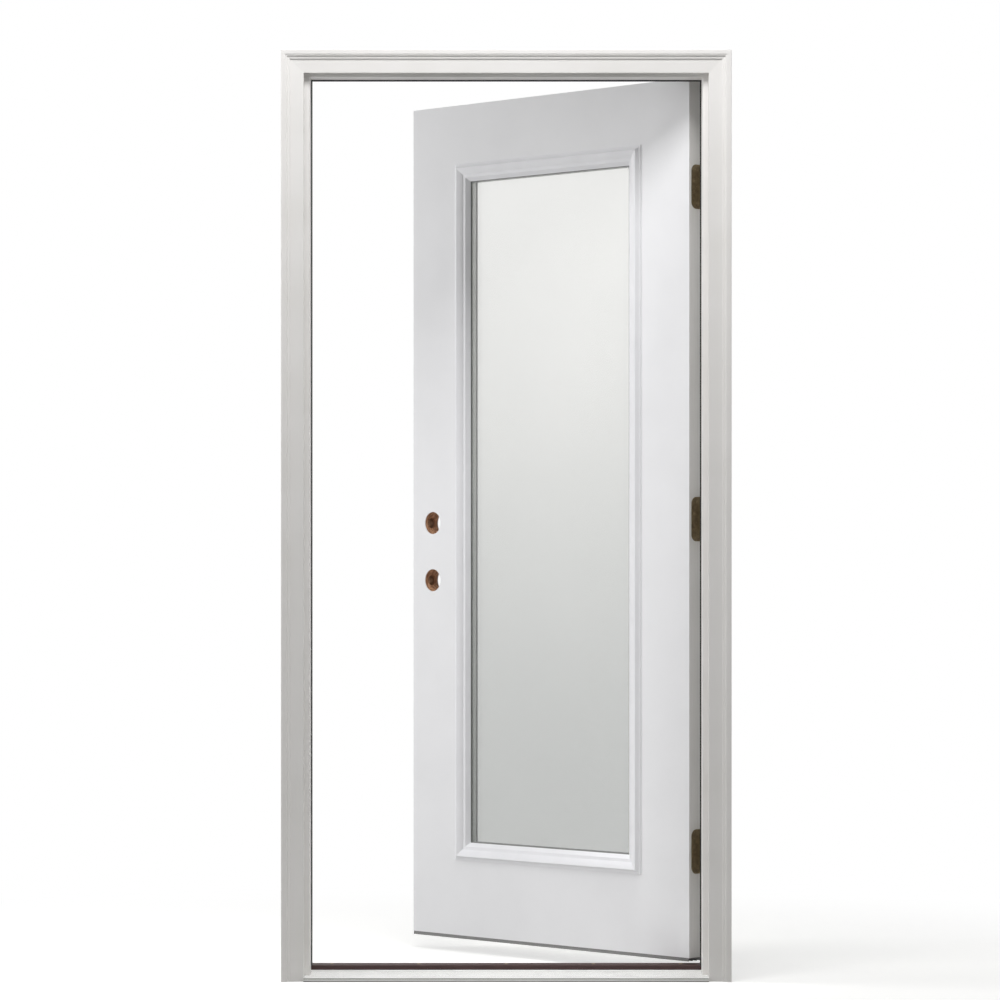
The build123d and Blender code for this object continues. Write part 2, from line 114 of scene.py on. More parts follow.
def add(tree: Tree, kind: str, inputs: Inputs | None = None, **settings: Any) -> bpy.types.Node:
    """Adds a shader node with its settings and links.

    Args:
        tree: The node tree that gets it.
        kind: The node's type, without its ShaderNode prefix.
        inputs: A value, or an output to link from, for each input by name or number.
        settings: Values of the node's own properties.

    Returns:
        The new node.
    """
    made = tree.nodes.new("ShaderNode" + kind)
    for key, value in settings.items():
        setattr(made, key, value)
    for key, value in (inputs or {}).items():
        if isinstance(value, Socket):
            tree.links.new(value, made.inputs[key])
        else:
            made.inputs[key].default_value = value
    return made


def emptied(holder: bpy.types.Material | bpy.types.World) -> Tree:
    """Clears a new material or world of the nodes that it comes with.

    Args:
        holder: The material or world.

    Returns:
        Its node tree.
    """
    holder.use_nodes = True
    holder.node_tree.nodes.clear()
    return holder.node_tree


def own_coordinates(tree: Tree, turn: float) -> Socket:
    """Coordinates that stay with a piece as it moves.

    Args:
        tree: The node tree.
        turn: Radians by which the piece stands turned about the vertical at rest.

    Returns:
        The coordinates in metres, with x along the piece.
    """
    place = add(tree, "TexCoord")
    turned = add(tree, "Mapping", {"Vector": place.outputs["Object"], "Rotation": (0, 0, -turn)})
    return turned.outputs["Vector"]


def drawn_out(
    tree: Tree, place: Socket, run: Run, across_mm: float, along_mm: float, detail: float = 3.0
) -> Socket:
    """Noise drawn out along one direction, as grain and extruded lines are.

    Args:
        tree: The node tree.
        place: The coordinates to use.
        run: The direction that the lines run in.
        across_mm: Size of a line across that direction.
        along_mm: Size of a line along it.
        detail: Octaves of the noise.

    Returns:
        A value from 0 to 1.
    """
    scale = [per_metre(across_mm)] * 3
    scale[run.value] = per_metre(along_mm)
    stretched = add(tree, "Mapping", {"Vector": place, "Scale": scale}).outputs["Vector"]
    noise = {"Vector": stretched, "Scale": 1.0, "Detail": detail}
    return add(tree, "TexNoise", noise).outputs["Fac"]


def blended(
    tree: Tree,
    share: Socket,
    first: str | Socket,
    second: str | Socket,
    low: float = NOISE_LOW,
    high: float = NOISE_HIGH,
) -> Socket:
    """Blends two colours by a pattern.

    Args:
        tree: The node tree.
        share: The pattern, from 0 to 1.
        first: The colour at and below low, as hex or an output.
        second: The colour at and above high.
        low: Where the blend starts.
        high: Where it ends.

    Returns:
        The blended colour.
    """
    span = {"Value": share, "From Min": low, "From Max": high}
    eased = add(tree, "MapRange", span, interpolation_type="SMOOTHSTEP").outputs["Result"]
    ends = [linear(c) if isinstance(c, str) else c for c in (first, second)]
    inputs = {MIX_FACTOR: eased, MIX_FIRST: ends[0], MIX_SECOND: ends[1]}
    return add(tree, "Mix", inputs, data_type="RGBA").outputs[MIX_RESULT]


def ranged(tree: Tree, share: Socket, low: float, high: float) -> Socket:
    """Turns a noise to a value between low and high."""
    source = {"Value": share, "From Min": NOISE_LOW, "From Max": NOISE_HIGH}
    return add(tree, "MapRange", {**source, "To Min": low, "To Max": high}).outputs["Result"]


def raised(tree: Tree, height: Socket, depth_mm: float, under: Socket | None = None) -> Socket:
    """A bump from a pattern.

    Args:
        tree: The node tree.
        height: The pattern, from 0 to 1.
        depth_mm: Height of the relief from 0 to 1.
        under: The normal of a coarser bump that this one lies on.

    Returns:
        The bumped normal.
    """
    inputs: Inputs = {"Height": height, "Distance": depth_mm * MM}
    if under is not None:
        inputs["Normal"] = under
    return add(tree, "Bump", inputs).outputs["Normal"]


def facing(tree: Tree, way: Point) -> Socket:
    """How far the faces of a piece look one way.

    Args:
        tree: The node tree.
        way: The direction, in the piece's own coordinates.

    Returns:
        A value of 1 where a face looks that way, down to -1 where it looks the other way.
    """
    normal = add(tree, "TexCoord").outputs["Normal"]
    share = add(tree, "VectorMath", {0: normal, 1: way}, operation="DOT_PRODUCT")
    return share.outputs["Value"]


def seen_white(tree: Tree) -> Socket:
    """Tells rays that look at the white surroundings from rays that gather light.

    Args:
        tree: The node tree of the world or the floor.

    Returns:
        A value of 1 for rays that look and 0 for the others.
    """
    rays = add(tree, "LightPath").outputs
    seen = rays[Ray.CAMERA]
    for kind in (Ray.GLOSSY, Ray.TRANSMISSION):
        seen = add(tree, "Math", {0: seen, 1: rays[kind]}, operation="MAXIMUM").outputs["Value"]
    return seen


@dataclass(frozen=True)
class Finish:
    """A finish: what a surface is made of and how it was made.

    Its turn is the one about the vertical that its pieces stand at, in radians, and its IOR is the
    real one. Metals keep the default IOR.
    """

    name: str
    turn: float = 0.0
    ior: float = 1.5

    def surface(self, tree: Tree, place: Socket) -> Inputs:
        """Adds the finish's patterns.

        Args:
            tree: The node tree.
            place: The piece's own coordinates.

        Returns:
            The shader's inputs.
        """
        raise NotImplementedError

    def shade(self, tree: Tree) -> Socket:
        """Adds the shader over the finish's patterns."""
        inputs = {"IOR": self.ior, **self.surface(tree, own_coordinates(tree, self.turn))}
        return add(tree, "BsdfPrincipled", inputs).outputs["BSDF"]

    @functools.cache
    def material(self) -> bpy.types.Material:
        """Makes the Blender material of this finish, once.

        Returns:
            The material.
        """
        made = bpy.data.materials.new(self.name)
        tree = emptied(made)
        add(tree, "OutputMaterial", {"Surface": self.shade(tree)})
        return made


@dataclass(frozen=True)
class MottledFinish(Finish):
    """A finish whose colour, roughness and relief follow one even mottling."""

    colour: str = "#808080"
    mottle: str = "#808080"
    size_mm: float = 1.0
    detail: float = 2.0
    smoothest: float = 0.5
    roughest: float = 0.5
    relief_mm: float = 0.1

    def surface(self, tree: Tree, place: Socket) -> Inputs:
        """Adds the mottling.

        Args:
            tree: The node tree.
            place: The piece's own coordinates.

        Returns:
            The shader's inputs.
        """
        noise = {"Vector": place, "Scale": per_metre(self.size_mm), "Detail": self.detail}
        mottling = add(tree, "TexNoise", noise).outputs["Fac"]
        return {
            "Base Color": blended(tree, mottling, self.colour, self.mottle),
            "Roughness": ranged(tree, mottling, self.smoothest, self.roughest),
            "Normal": raised(tree, mottling, self.relief_mm),
        }


@dataclass(frozen=True)
class PrimedPine(Finish):
    """Finger-jointed pine, moulded and primed white at the factory.

    The primer fills the pores, so the grain barely shows in the gloss and the white is only a
    little cloudy, with the fine stipple of the spray gun.
    """

    run: Run = Run.UPRIGHT
    colour: str = "#EEECEA"
    thin_coat: str = "#E9E7E4"

    def surface(self, tree: Tree, place: Socket) -> Inputs:
        """Adds the patterns of the primed wood.

        Args:
            tree: The node tree.
            place: The piece's own coordinates.

        Returns:
            The shader's inputs.
        """
        grain = drawn_out(tree, place, self.run, across_mm=2.2, along_mm=90)
        cloud = add(tree, "TexNoise", {"Vector": place, "Scale": per_metre(160)}).outputs["Fac"]
        white = blended(tree, cloud, self.colour, self.thin_coat, low=0.35, high=0.8)
        white = blended(tree, grain, white, self.thin_coat, low=0.5, high=1.1)
        stipple = add(tree, "TexNoise", {"Vector": place, "Scale": per_metre(1.1)}).outputs["Fac"]
        relief = raised(tree, grain, depth_mm=0.012)
        relief = raised(tree, stipple, depth_mm=0.012, under=relief)
        return {
            "Base Color": white,
            "Roughness": ranged(tree, grain, 0.44, 0.52),
            "Normal": relief,
        }


@dataclass(frozen=True)
class MouldedFiberglass(Finish):
    """Glass-fibre sheet pressed in a smooth mould and pigmented white, slightly cool.

    The press leaves an even satin with a faint orange peel, and the fibres under the surface show
    as a very slight mottling.
    """

    colour: str = "#EDEDEF"
    fibre: str = "#EAEAEC"

    def surface(self, tree: Tree, place: Socket) -> Inputs:
        """Adds the patterns of the moulded sheet.

        Args:
            tree: The node tree.
            place: The piece's own coordinates.

        Returns:
            The shader's inputs.
        """
        mottle = add(tree, "TexNoise", {"Vector": place, "Scale": per_metre(120), "Detail": 3.0})
        fibres = add(tree, "TexNoise", {"Vector": place, "Scale": per_metre(4)}).outputs["Fac"]
        white = blended(tree, mottle.outputs["Fac"], self.colour, self.fibre, high=0.85)
        peel = add(tree, "TexNoise", {"Vector": place, "Scale": per_metre(3.0), "Detail": 1.0})
        return {
            "Base Color": white,
            "Roughness": ranged(tree, fibres, 0.37, 0.41),
            "Normal": raised(tree, peel.outputs["Fac"], depth_mm=0.012),
        }


@dataclass(frozen=True)
class MouldedTrimPlastic(Finish):
    """Injection-moulded white trim plastic of the glazing frames and their plugs.

    It is smoother than the leaf, with soft highlights on its curves and a faint cloudiness where
    the melt flowed round.
    """

    ior: float = 1.49
    colour: str = "#EDEDF0"
    flow: str = "#EAEAED"

    def surface(self, tree: Tree, place: Socket) -> Inputs:
        """Adds the patterns of the moulded plastic.

        Args:
            tree: The node tree.
            place: The piece's own coordinates.

        Returns:
            The shader's inputs.
        """
        cloud = add(tree, "TexNoise", {"Vector": place, "Scale": per_metre(70), "Detail": 3.0})
        flow = cloud.outputs["Fac"]
        grit = add(tree, "TexNoise", {"Vector": place, "Scale": per_metre(0.9)}).outputs["Fac"]
        return {
            "Base Color": blended(tree, flow, self.colour, self.flow),
            "Roughness": ranged(tree, flow, 0.31, 0.35),
            "Normal": raised(tree, grit, depth_mm=0.006),
        }


@dataclass(frozen=True)
class FilmedFoamSeal(Finish):
    """Urethane foam in a black film, as in kerf-in weatherstrips.

    The film has a dull sheen and puckers finely across its length where the foam is soft.
    """

    run: Run = Run.UPRIGHT
    colour: str = "#131212"
    dust: str = "#232121"

    def surface(self, tree: Tree, place: Socket) -> Inputs:
        """Adds the patterns of the filmed foam.

        Args:
            tree: The node tree.
            place: The piece's own coordinates.

        Returns:
            The shader's inputs.
        """
        pucker = add(tree, "TexNoise", {"Vector": place, "Scale": per_metre(4), "Detail": 5.0})
        dust = drawn_out(tree, place, self.run, across_mm=2, along_mm=60)
        return {
            "Base Color": blended(tree, dust, self.colour, self.dust, low=0.4, high=0.9),
            "Roughness": ranged(tree, pucker.outputs["Fac"], 0.48, 0.66),
            "Normal": raised(tree, pucker.outputs["Fac"], depth_mm=0.12),
        }


@dataclass(frozen=True)
class FlockedFoam(MottledFinish):
    """Black foam block with a napped face, as corner pads have.

    The nap takes nearly all light and leaves a soft grey bloom at the edges.
    """

    ior: float = 1.45
    colour: str = "#161515"
    mottle: str = "#2B2A2A"
    size_mm: float = 0.8
    detail: float = 6.0
    smoothest: float = 0.95
    roughest: float = 0.95
    relief_mm: float = 0.3
    sheen: float = 0.4

    def surface(self, tree: Tree, place: Socket) -> Inputs:
        """Adds the mottling of the nap, with its soft bloom."""
        return {"Sheen Weight": self.sheen, **super().surface(tree, place)}


@dataclass(frozen=True)
class MillAluminium(Finish):
    """Extruded aluminium with its mill finish.

    Die lines run along the extrusion and draw the highlights out. Bare metal starts from a
    metallic of 1, but this top is frosted and scatters light until it looks nearly white, so its
    metallic is matched down to that. Faces that look out of the house are painted grey: painted
    shade in place of the darker reflection they would show. Painted shade also darkens the
    grooves.
    """

    colour: str = "#FCFCFA"
    cloudy: str = "#F6F6F4"
    # Painted shade: the grey of faces that look out of the house, in place of a darker reflection
    painted_front_shade: str = "#E0E0DD"
    # Painted shade: the dark put into the grooves where the occlusion finds hollows
    painted_groove_shade: str = "#4E4E4B"
    groove_mm: float = 3.0
    metallic: float = 0.1

    def surface(self, tree: Tree, place: Socket) -> Inputs:
        """Adds the patterns of the bare metal.

        Args:
            tree: The node tree.
            place: The piece's own coordinates.

        Returns:
            The shader's inputs.
        """
        lines = drawn_out(tree, place, Run.ACROSS, across_mm=0.7, along_mm=300)
        cloud = add(tree, "TexNoise", {"Vector": place, "Scale": per_metre(45)}).outputs["Fac"]
        metal = blended(tree, cloud, self.colour, self.cloudy, low=0.4, high=0.9)
        # Painted shade on the faces that look out of the house, standing in for a darker
        # reflection
        painted_shade_side = facing(tree, (0.0, -1.0, 0.0))
        metal = blended(tree, painted_shade_side, metal, self.painted_front_shade, low=0.55, high=0.85)
        # Painted shade: darker where ambient occlusion finds the grooves
        groove_occlusion = add(tree, "AmbientOcclusion", {"Distance": self.groove_mm * MM}, samples=8)
        metal = blended(tree, groove_occlusion.outputs["AO"], self.painted_groove_shade, metal, high=0.72)
        return {
            "Base Color": metal,
            "Metallic": self.metallic,
            "Roughness": ranged(tree, lines, 0.35, 0.48),
            "Normal": raised(tree, lines, depth_mm=0.008),
        }


@dataclass(frozen=True)
class WoodComposite(Finish):
    """Wood fibre and plastic, extruded along the doorway.

    It is matt, with fine drawn-out streaks and light specks of fibre.
    """

    colour: str = "#38201F"
    streak: str = "#2E1A19"
    speck: str = "#4C3431"

    def surface(self, tree: Tree, place: Socket) -> Inputs:
        """Adds the patterns of the composite.

        Args:
            tree: The node tree.
            place: The piece's own coordinates.

        Returns:
            The shader's inputs.
        """
        streaks = drawn_out(tree, place, Run.ACROSS, across_mm=1.6, along_mm=45, detail=5.0)
        specks = add(tree, "TexNoise", {"Vector": place, "Scale": per_metre(1.3)}).outputs["Fac"]
        body = blended(tree, streaks, self.colour, self.streak)
        body = blended(tree, specks, body, self.speck, low=0.62, high=0.78)
        return {
            "Base Color": body,
            "Roughness": ranged(tree, streaks, 0.55, 0.72),
            "Normal": raised(tree, streaks, depth_mm=0.1),
        }


@dataclass(frozen=True)
class StileTimber(Finish):
    """Laminated stile timber, enamelled on the edge of the leaf and bare elsewhere.

    The enamel is sprayed, so it is even and satin; the bare wood shows its layers.
    """

    enamel: str = "#EDECEA"
    shadow_coat: str = "#E6E5E2"
    wood: str = "#A67F5C"
    layer: str = "#85603F"

    def surface(self, tree: Tree, place: Socket) -> Inputs:
        """Adds the patterns of the stile, with the enamel on faces that look along the leaf.

        Args:
            tree: The node tree.
            place: The piece's own coordinates.

        Returns:
            The shader's inputs.
        """
        grain = drawn_out(tree, place, Run.UPRIGHT, across_mm=1.8, along_mm=70)
        layers = drawn_out(tree, place, Run.UPRIGHT, across_mm=3.2, along_mm=900, detail=1.0)
        along = facing(tree, (math.cos(self.turn), math.sin(self.turn), 0.0))
        flat = add(tree, "Math", {0: along}, operation="ABSOLUTE")
        white = blended(tree, grain, self.enamel, self.shadow_coat, low=0.4, high=0.9)
        timber = blended(tree, layers, self.wood, self.layer, low=0.44, high=0.56)
        colour = blended(tree, flat.outputs["Value"], timber, white, low=0.85, high=0.95)
        return {
            "Base Color": colour,
            "Roughness": ranged(tree, grain, 0.42, 0.58),
            "Normal": raised(tree, grain, depth_mm=0.05),
        }


@dataclass(frozen=True)
class BoredTimber(Finish):
    """Laminated lock block, bored with a hole saw and left bare.

    The walls of the bores show brown layers, darkened where the saw rubbed, with torn light
    fibres between them.
    """

    wood: str = "#CDA27F"
    scorched: str = "#946A4C"
    torn: str = "#E4C6A8"

    def surface(self, tree: Tree, place: Socket) -> Inputs:
        """Adds the patterns of the bored wood.

        Args:
            tree: The node tree.
            place: The piece's own coordinates.

        Returns:
            The shader's inputs.
        """
        layers = drawn_out(tree, place, Run.UPRIGHT, across_mm=5.0, along_mm=60)
        scorch = add(tree, "TexNoise", {"Vector": place, "Scale": per_metre(22)}).outputs["Fac"]
        fibres = add(tree, "TexNoise", {"Vector": place, "Scale": per_metre(2.2), "Detail": 4.0})
        colour = blended(tree, layers, self.wood, self.scorched, low=0.4, high=0.62)
        colour = blended(tree, scorch, colour, self.scorched, low=0.45, high=0.8)
        colour = blended(tree, fibres.outputs["Fac"], colour, self.torn, low=0.56, high=0.75)
        return {
            "Base Color": colour,
            "Roughness": ranged(tree, fibres.outputs["Fac"], 0.62, 0.8),
            "Normal": raised(tree, fibres.outputs["Fac"], depth_mm=0.25),
        }


@dataclass(frozen=True)
class BlownFoam(Finish):
    """Polyurethane foam blown between the skins: cream, matt and finely celled."""

    colour: str = "#E7D9AE"
    cell: str = "#D5C492"

    def surface(self, tree: Tree, place: Socket) -> Inputs:
        """Adds the patterns of the foam.

        Args:
            tree: The node tree.
            place: The piece's own coordinates.

        Returns:
            The shader's inputs.
        """
        bubbles = add(tree, "TexVoronoi", {"Vector": place, "Scale": per_metre(0.9)})
        cells = bubbles.outputs["Distance"]
        return {
            "Base Color": blended(tree, cells, self.colour, self.cell),
            "Roughness": 0.9,
            "Normal": raised(tree, cells, depth_mm=0.3),
        }


@dataclass(frozen=True)
class ExtrudedVinyl(Finish):
    """Soft vinyl of the bottom sweep, extruded along the leaf.

    It is grey and dull, with drawn-out lines and a little dust where it drags.
    """

    ior: float = 1.53
    colour: str = "#8B8B8A"
    dull: str = "#777776"

    def surface(self, tree: Tree, place: Socket) -> Inputs:
        """Adds the patterns of the vinyl.

        Args:
            tree: The node tree.
            place: The piece's own coordinates.

        Returns:
            The shader's inputs.
        """
        lines = drawn_out(tree, place, Run.ACROSS, across_mm=1.2, along_mm=80)
        return {
            "Base Color": blended(tree, lines, self.colour, self.dull),
            "Roughness": ranged(tree, lines, 0.46, 0.62),
            "Normal": raised(tree, lines, depth_mm=0.04),
        }


@dataclass(frozen=True)
class GlazingTape(MottledFinish):
    """Dark butyl glazing tape, squeezed between the glass and its frame.

    It is a dull dark grey with a slight slick where it was pressed.
    """

    ior: float = 1.52
    colour: str = "#6A6B69"
    mottle: str = "#7A7B79"
    size_mm: float = 6.0
    smoothest: float = 0.4
    roughest: float = 0.6
    relief_mm: float = 0.08


@dataclass(frozen=True)
class PerforatedSpacer(Finish):
    """Satin aluminium spacer bar of the sealed unit, perforated for its drying beads.

    Two rows of pinholes run down the face between the panes.
    """

    colour: str = "#B9BBB8"
    hole: str = "#3C3D3B"
    pitch_mm: float = 5.0

    def surface(self, tree: Tree, place: Socket) -> Inputs:
        """Adds the patterns of the perforated bar.

        Args:
            tree: The node tree.
            place: The piece's own coordinates.

        Returns:
            The shader's inputs.
        """
        lines = drawn_out(tree, place, Run.UPRIGHT, across_mm=0.8, along_mm=200)
        grid = {"Vector": place, "Scale": per_metre(self.pitch_mm), "Randomness": 0.0}
        holes = add(tree, "TexVoronoi", grid).outputs["Distance"]
        metal = blended(tree, holes, self.hole, self.colour, low=0.13, high=0.16)
        return {
            "Base Color": metal,
            "Metallic": 1.0,
            "Roughness": ranged(tree, lines, 0.36, 0.5),
            "Normal": raised(tree, holes, depth_mm=0.1),
        }


@dataclass(frozen=True)
class CoatedFloatGlass(Finish):
    """Float glass with a heat-reflecting coating.

    The coating leaves it clear and barely grey. Towards the foot it is painted greyer, a painted
    shade for the darker surroundings seen through it, with a little random dust over that. It
    lets lamps through to what is behind it.
    """

    ior: float = 1.52
    tint: str = "#F7F7F6"
    # Painted shade and dust: the grey blended in by height towards the foot, with random noise
    # over it
    film: str = "#DCDDDC"
    clarity: float = 0.96
    foot_z: float = 0.2
    head_z: float = 1.95
    dust_mm: float = 400.0
    dust_share: float = 0.12

    def surface(self, tree: Tree, place: Socket) -> Inputs:
        """Adds the patterns of the glass, with its painted shade and dust.

        Args:
            tree: The node tree.
            place: The piece's own coordinates.

        Returns:
            The shader's inputs.
        """
        level = add(tree, "SeparateXYZ", {0: place}).outputs["Z"]
        span = {"Value": level, "From Min": self.foot_z, "From Max": self.head_z}
        height = add(tree, "MapRange", span).outputs["Result"]
        dust = add(tree, "TexNoise", {"Vector": place, "Scale": per_metre(self.dust_mm)})
        terms = {0: dust.outputs["Fac"], 1: self.dust_share, 2: height}
        # Painted shade: greyer towards the foot by height, for the darker surroundings seen
        # through; the noise adds random dust
        clear_of_shade_and_dust = add(tree, "Math", terms, operation="MULTIPLY_ADD").outputs["Value"]
        grey = blended(tree, clear_of_shade_and_dust, self.film, self.tint, low=0.06, high=1.06)
        streak = drawn_out(tree, place, Run.UPRIGHT, across_mm=70, along_mm=900, detail=1.0)
        return {
            "Base Color": grey,
            "Roughness": ranged(tree, streak, 0.0, 0.015),
            "Transmission Weight": self.clarity,
        }

    def shade(self, tree: Tree) -> Socket:
        """Adds the glass's shader, with an open way through it for the light of lamps.

        Args:
            tree: The node tree.

        Returns:
            The shader.
        """
        glass = super().shade(tree)
        open_way = add(tree, "BsdfTransparent", {"Color": linear(self.tint)})
        shadow = add(tree, "LightPath").outputs[Ray.SHADOW]
        mixed = add(tree, "MixShader", {"Fac": shadow, 1: glass, 2: open_way.outputs["BSDF"]})
        return mixed.outputs["Shader"]


@dataclass(frozen=True)
class RubbedBronze(Finish):
    """Steel plated and toned to oil-rubbed bronze.

    The toning is a dark olive brown that lies unevenly, and rubs through to a warmer brown along
    the edges and in small spots.
    """

    toned: str = "#8E8370"
    uneven: str = "#A99C82"
    rubbed: str = "#CBB895"
    edge_mm: float = 0.7

    def surface(self, tree: Tree, place: Socket) -> Inputs:
        """Adds the patterns of the toned metal.

        Args:
            tree: The node tree.
            place: The piece's own coordinates.

        Returns:
            The shader's inputs.
        """
        cloud = add(tree, "TexNoise", {"Vector": place, "Scale": per_metre(9), "Detail": 5.0})
        spots = add(tree, "TexNoise", {"Vector": place, "Scale": per_metre(3.5), "Detail": 3.0})
        rounded = add(tree, "Bevel", {"Radius": self.edge_mm * MM}, samples=4)
        plain = add(tree, "NewGeometry")
        normals = {0: rounded.outputs["Normal"], 1: plain.outputs["Normal"]}
        bend = add(tree, "VectorMath", normals, operation="DOT_PRODUCT").outputs["Value"]
        edge = add(tree, "Math", {0: 1.0, 1: bend}, operation="SUBTRACT")
        colour = blended(tree, cloud.outputs["Fac"], self.toned, self.uneven)
        colour = blended(tree, spots.outputs["Fac"], colour, self.rubbed, low=0.6, high=0.8)
        colour = blended(tree, edge.outputs["Value"], colour, self.rubbed, low=0.02, high=0.3)
        return {
            "Base Color": colour,
            "Metallic": 0.9,
            "Roughness": ranged(tree, cloud.outputs["Fac"], 0.38, 0.58),
            "Normal": raised(tree, spots.outputs["Fac"], depth_mm=0.03),
        }


@dataclass(frozen=True)
class Nylon(MottledFinish):
    """Moulded nylon of the bushings round the threshold's adjusting screws: dull dark brown."""

    ior: float = 1.53
    colour: str = "#3E2D26"
    mottle: str = "#54413A"
    size_mm: float = 2.5
    smoothest: float = 0.45
    roughest: float = 0.6
    relief_mm: float = 0.02


@dataclass(frozen=True)
class MattFloorPaint(Finish):
    """Matt paint, rolled on the studio's floor.

    It keeps the object's shadow, glows a little to match the white round it and fades to it. To
    rays that gather light it is a dimmer grey.
    """

    colour: str = "#E4E4E2"
    dim: str = "#B8B8B6"
    glow: float = 0.45
    near: float = 0.9
    far: float = 2.4

    def shade(self, tree: Tree) -> Socket:
        """Adds the paint's shader.

        Args:
            tree: The node tree.

        Returns:
            The shader.
        """
        place = add(tree, "TexCoord").outputs["Object"]
        reach = add(tree, "VectorMath", {0: place}, operation="LENGTH").outputs["Value"]
        span = {"Value": reach, "From Min": self.near, "From Max": self.far}
        fade = add(tree, "MapRange", span, interpolation_type="SMOOTHSTEP")
        seen = seen_white(tree)
        matt = add(tree, "BsdfDiffuse", {"Color": linear(self.colour)}).outputs["BSDF"]
        dim = add(tree, "BsdfDiffuse", {"Color": linear(self.dim)}).outputs["BSDF"]
        glow, white = (
            add(tree, "Emission", {"Color": linear(WHITE), "Strength": strength}).outputs[0]
            for strength in (self.glow, 1.0)
        )
        lifted = add(tree, "AddShader", {0: matt, 1: glow}).outputs[0]
        near = add(tree, "MixShader", {"Fac": seen, 1: dim, 2: lifted}).outputs[0]
        far = add(tree, "Math", {0: fade.outputs["Result"], 1: seen}, operation="MULTIPLY")
        whole = add(tree, "MixShader", {"Fac": far.outputs["Value"], 1: near, 2: white})
        return whole.outputs["Shader"]


@dataclass(frozen=True)
class FlagCloth(Finish):
    """Pale matt cloth of the studio's flag, woven plain."""

    colour: str = "#D8D8D6"
    thread: str = "#E2E2E0"

    def shade(self, tree: Tree) -> Socket:
        """Adds the cloth's shader.

        Args:
            tree: The node tree.

        Returns:
            The shader.
        """
        weave = add(tree, "TexNoise", {"Scale": per_metre(3)})
        colour = blended(tree, weave.outputs["Fac"], self.colour, self.thread)
        return add(tree, "BsdfDiffuse", {"Color": colour}).outputs["BSDF"]


def dress(names: Iterable[str], finish: Finish) -> None:
    """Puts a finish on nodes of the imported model.

    Args:
        names: The nodes.
        finish: Their finish.
    """
    for name in names:
        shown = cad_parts[name]
        if not shown.material_slots:
            shown.data.materials.append(finish.material())
        for holder in shown.material_slots:
            holder.material = finish.material()
        log.info("%s: %s", name, finish.name)


def shaped(name: str, shape: Shape, finish: Finish) -> bpy.types.Object:
    """Makes an object from a finished shape.

    Args:
        name: The object's name.
        shape: Its shape, which is freed.
        finish: Its finish.

    Returns:
        The new object, linked to the scene.
    """
    mesh = bpy.data.meshes.new(name)
    shape.to_mesh(mesh)
    shape.free()
    mesh.materials.append(finish.material())
    made = bpy.data.objects.new(name, mesh)
    bpy.context.scene.collection.objects.link(made)
    return made


def piece(name: str, shape: Shape, finish: Finish, body: Body) -> None:
    """Makes a piece of the visual model from a finished shape.

    Args:
        name: The piece's name.
        shape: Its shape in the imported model's frame, which is freed.
        finish: Its finish.
        body: The body that it rides on.
    """
    bmesh.ops.recalc_face_normals(shape, faces=shape.faces)
    made = shaped(name, shape, finish)
    made.data.shade_smooth()
    made.data.set_sharp_from_angle(angle=SHARP_ANGLE)
    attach(made, body.value)
    log.info("%s: %s, %d faces", name, finish.name, len(made.data.polygons))


def seat(node: str, start: Vector, way: Vector) -> Matrix:
    """Where a fastener sits on a node.

    Args:
        node: The node that carries it.
        start: A point in front of the node's surface.
        way: The direction from there to the surface.

    Returns:
        A matrix at the surface whose z looks out of it and whose x lies level.
    """
    hit, point, normal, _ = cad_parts[node].ray_cast(start, way)
    if not hit:
        raise ValueError(f"nothing of {node} lies in front of {tuple(start)}")
    level = Vector((0, 0, 1)).cross(normal)
    if level.length < NEARLY_LEVEL:
        level = Vector((1, 0, 0))
    level.normalize()
    axes = Matrix((level, normal.cross(level), normal)).transposed().to_4x4()
    return Matrix.Translation(point) @ axes


def lathe(
    shape: Shape, outline: list[tuple[float, float]], place: Matrix, sides: int
) -> list[list[bmesh.types.BMVert]]:
    """Turns an outline about the z axis of a place.

    Args:
        shape: The shape that gets the faces.
        outline: Radius and height of each ring, from the lowest to the top.
        place: Where the axis stands.
        sides: Corners of a ring.

    Returns:
        The rings of corners.
    """
    rings = []
    for radius, height in outline:
        ring = []
        for number in range(sides):
            angle = 2 * math.pi * number / sides
            point = Vector((radius * math.cos(angle), radius * math.sin(angle), height))
            ring.append(shape.verts.new(place @ point))
        rings.append(ring)
    for lower, upper in zip(rings, rings[1:]):
        for number in range(sides):
            after = (number + 1) % sides
            shape.faces.new((lower[number], lower[after], upper[after], upper[number]))
    shape.faces.new(list(reversed(rings[0])))
    return rings


@dataclass(frozen=True)
class CrossScrew:
    """A flat-headed screw with a cross recess, driven home. Sizes are millimetres."""

    radius: float = 4.7
    rise: float = 0.5
    sunk: float = 0.3
    rim: float = 0.3
    arm: float = 2.6
    arm_width: float = 0.95
    recess: float = 0.45
    taper: float = 0.6
    sides: int = 36

    def add_to(self, shape: Shape, place: Matrix, turn: float) -> None:
        """Adds the screw's head.

        Args:
            shape: The shape that gets it.
            place: The seat, with z out of the surface.
            turn: Radians by which the cross stands turned, as driven screws do.
        """
        turned = place @ Matrix.Rotation(turn, 4, "Z") @ Matrix.Scale(MM, 4)
        outline = [
            (self.radius, -self.sunk),
            (self.radius, self.rise - self.rim),
            (self.radius - self.rim, self.rise),
        ]
        top = lathe(shape, outline, turned, self.sides)[-1]
        arm, half = self.arm, self.arm_width / 2
        quarter = [(arm, -half), (arm, half), (half, half)]
        corners = []
        for number in range(4):
            spin = Matrix.Rotation(number * math.pi / 2, 2)
            corners += [spin @ Vector(corner) for corner in quarter]
        mouth = [shape.verts.new(turned @ Vector((c.x, c.y, self.rise))) for c in corners]
        floor = [
            shape.verts.new(
                turned @ Vector((c.x * self.taper, c.y * self.taper, self.rise - self.recess))
            )
            for c in corners
        ]
        loops = [top, mouth]
        flat = [[turned.inverted() @ v.co for v in loop] for loop in loops]
        ends = [v for loop in loops for v in loop]
        for triangle in tessellate_polygon(flat):
            shape.faces.new([ends[i] for i in triangle])
        for number in range(len(mouth)):
            after = (number + 1) % len(mouth)
            shape.faces.new((mouth[number], mouth[after], floor[after], floor[number]))
        shape.faces.new(floor)


